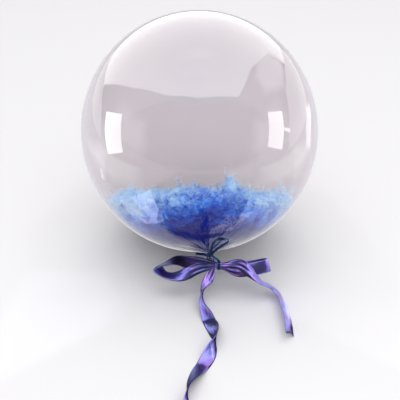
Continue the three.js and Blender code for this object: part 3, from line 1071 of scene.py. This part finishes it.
def make_high_cards():
    """The bright ceiling and the two windows that the film mirrors."""
    card("ceiling", 3.2, WHITE, around(
        (-3.3, -1.5, -2.5), (-2.5, -1.5, 0.7), (-1.5, -1.5, 2.4), (0, -1.5, 3.0), (1.9, -1.5, 2.3),
        (1.32, -1.5, 0.5), (1.4, -1.5, -0.6), (2.6, -1.5, -2.5),
    ), 0.06)
    card("left_window", 8.0, WHITE, around(
        (-0.65, -0.137, 0.042), (-0.65, -0.133, 0.275), (-0.65, 0.185, 0.255), (-0.65, 0.160, 0.04),
    ), 0.03)
    card("right_window", 8.0, WHITE, around(
        (0.65, -0.170, 0.391), (0.65, -0.156, 0.189), (0.65, 0.146, 0.184), (0.65, 0.156, 0.388),
    ), 0.03)
    card("right_arm", 6.0, WHITE, around(
        (0.65, -0.03, 0.19), (0.65, -0.02, 0.10), (0.65, 0.015, 0.10), (0.65, -0.005, 0.19),
    ), 0.1)
    card("right_strip", 3.0, WHITE, upright(
        0.42, (0.13, 0.285), (0.23, 0.22), (0.12, 0.17), (0.08, 0.09), (0.0, 0.135), (0.03, 0.23),
    ), 0.3)
    card("left_glint", 2.5, WHITE, upright(
        -0.42, (-0.03, 0.07), (-0.07, 0.10), (-0.05, 0.0), (-0.01, 0.0),
    ), 0.4)


def make_floor_cards():
    """Painted reflections of the floor in the film: painted shade under the neck, painted light around it,
    and two pale sheets.
    """
    card("left_sheet", 3.9, LAVENDER, on_floor(
        (-0.33, -0.13), (-0.39, -0.48), (-0.17, -0.31), (-0.13, -0.26), (-0.18, -0.14), (-0.24, -0.137),
    ), 0.05)
    card("right_sheet", 2.8, LAVENDER, on_floor(
        (0.13, -0.34), (0.28, -0.20), (0.17, -0.20), (0.02, -0.235),
    ), 0.1)
    # Painted shade: a dark card that the film mirrors under the neck.
    card("dark_floor", 0.02, WHITE, on_floor(
        (0, -0.175), (-0.155, -0.235), (-0.20, -0.33), (-0.42, -0.52), (-0.9, -2.6),
        (0.9, -2.6), (0.40, -0.46), (0.14, -0.25),
    ), 0.01)
    # Painted light: a bright card that the film mirrors where the floor lies in the heap's shadow.
    card("bright_floor", 1.05, PALE_LAVENDER, on_floor(
        (0, -0.17), (-0.15, -0.23), (-1.6, -0.3), (-2.4, 1.6), (2.4, 1.6), (1.6, -0.3), (0.135, -0.24),
    ), 0.02)


def make_side_cards():
    """The room to the left and right: soft haze, pale floor and the two walls."""
    for side, word in ((-1, "left"), (1, "right")):
        card(word + "_haze", 1.8, WHITE, upright(
            side * 1.35, (0.15, 0.9), (-0.95, 1.2), (-1.4, 0.5), (-1.1, 0.02), (0.1, 0.02),
        ), 0.7)
        pale_floor = [(0.40, -0.12), (0.42, -0.5), (1.2, -1.0), (1.28, 0.2), (0.55, 0.35)]
        card(word + "_floor", 2.2, WHITE, [(side * x, y, PALE_FLOOR_HEIGHT) for x, y in pale_floor], 0.5)
    card("left_wall", 1.6, WHITE, upright(
        -1.3, (0.15, 0.01), (0.19, 0.14), (0.40, 0.32), (0.86, 0.43), (1.4, 0.36), (2.6, 0.15), (2.6, 0.01),
    ), 0.06)
    card("right_wall", 1.8, WHITE, upright(
        1.3, (-0.20, 0.01), (-0.08, 0.29), (0.15, 0.50), (0.43, 0.69), (1.05, 0.68), (2.6, 0.25), (2.6, 0.01),
    ), 0.06)
    card("right_high", 2.0, WHITE, upright(
        1.32, (-0.15, 1.15), (0.1, 1.7), (1.6, 1.7), (1.5, 0.65), (0.45, 0.66), (0.15, 0.85),
    ), 0.4)


def make_lights():
    make_room_glow()
    add_light("overhead", (4.5, 4.0), 105, (0, 0.2, 3.0), (0, 0.2, 0))
    add_light("fill", (2.8, 1.8), 48, (0.4, -2.4, 1.5), (0, -0.1, 0.1))
    make_high_cards()
    make_floor_cards()
    make_side_cards()


def make_camera():
    data = bpy.data.cameras.new("camera")
    data.sensor_width = 36
    data.lens = data.sensor_width * CAMERA_DISTANCE / VIEW_WIDTH
    camera = bpy.data.objects.new("camera", data)
    look = Vector((0, math.cos(CAMERA_RISE), -math.sin(CAMERA_RISE)))
    up = Vector((0, math.sin(CAMERA_RISE), math.cos(CAMERA_RISE)))
    aim = CENTRE + VIEW_SHIFT_RIGHT * RIGHT - VIEW_SHIFT_DOWN * up
    camera.location = aim - CAMERA_DISTANCE * look
    camera.rotation_euler = (math.pi / 2 - CAMERA_RISE, 0, 0)
    bpy.context.scene.collection.objects.link(camera)
    bpy.context.scene.camera = camera


# ---- The balloon ----

make_camera()
bpy.context.scene.view_settings.view_transform = "Standard"

film = make_film()
film.data.materials.append(film_material())
film.visible_shadow = False
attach(film, "root")
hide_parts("film")

down = down_dye_and_painted_shade_material()
core = make_core()
layers = make_feathers(core, down)
core.data.materials.append(down)
for piece in (core, *layers):
    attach(piece, "root")

bow, ribbon_length = make_satin_bow()
bow.data.materials.append(satin_material())
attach(bow, "root")
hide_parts("satin_bow")

tie = make_neck_tie()
tie.data.materials.append(tie_material())
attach(tie, "root")
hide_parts("neck_tie")

for piece in (core, *layers, bow, tie):
    piece.visible_glossy = False

make_floor()
make_lights()
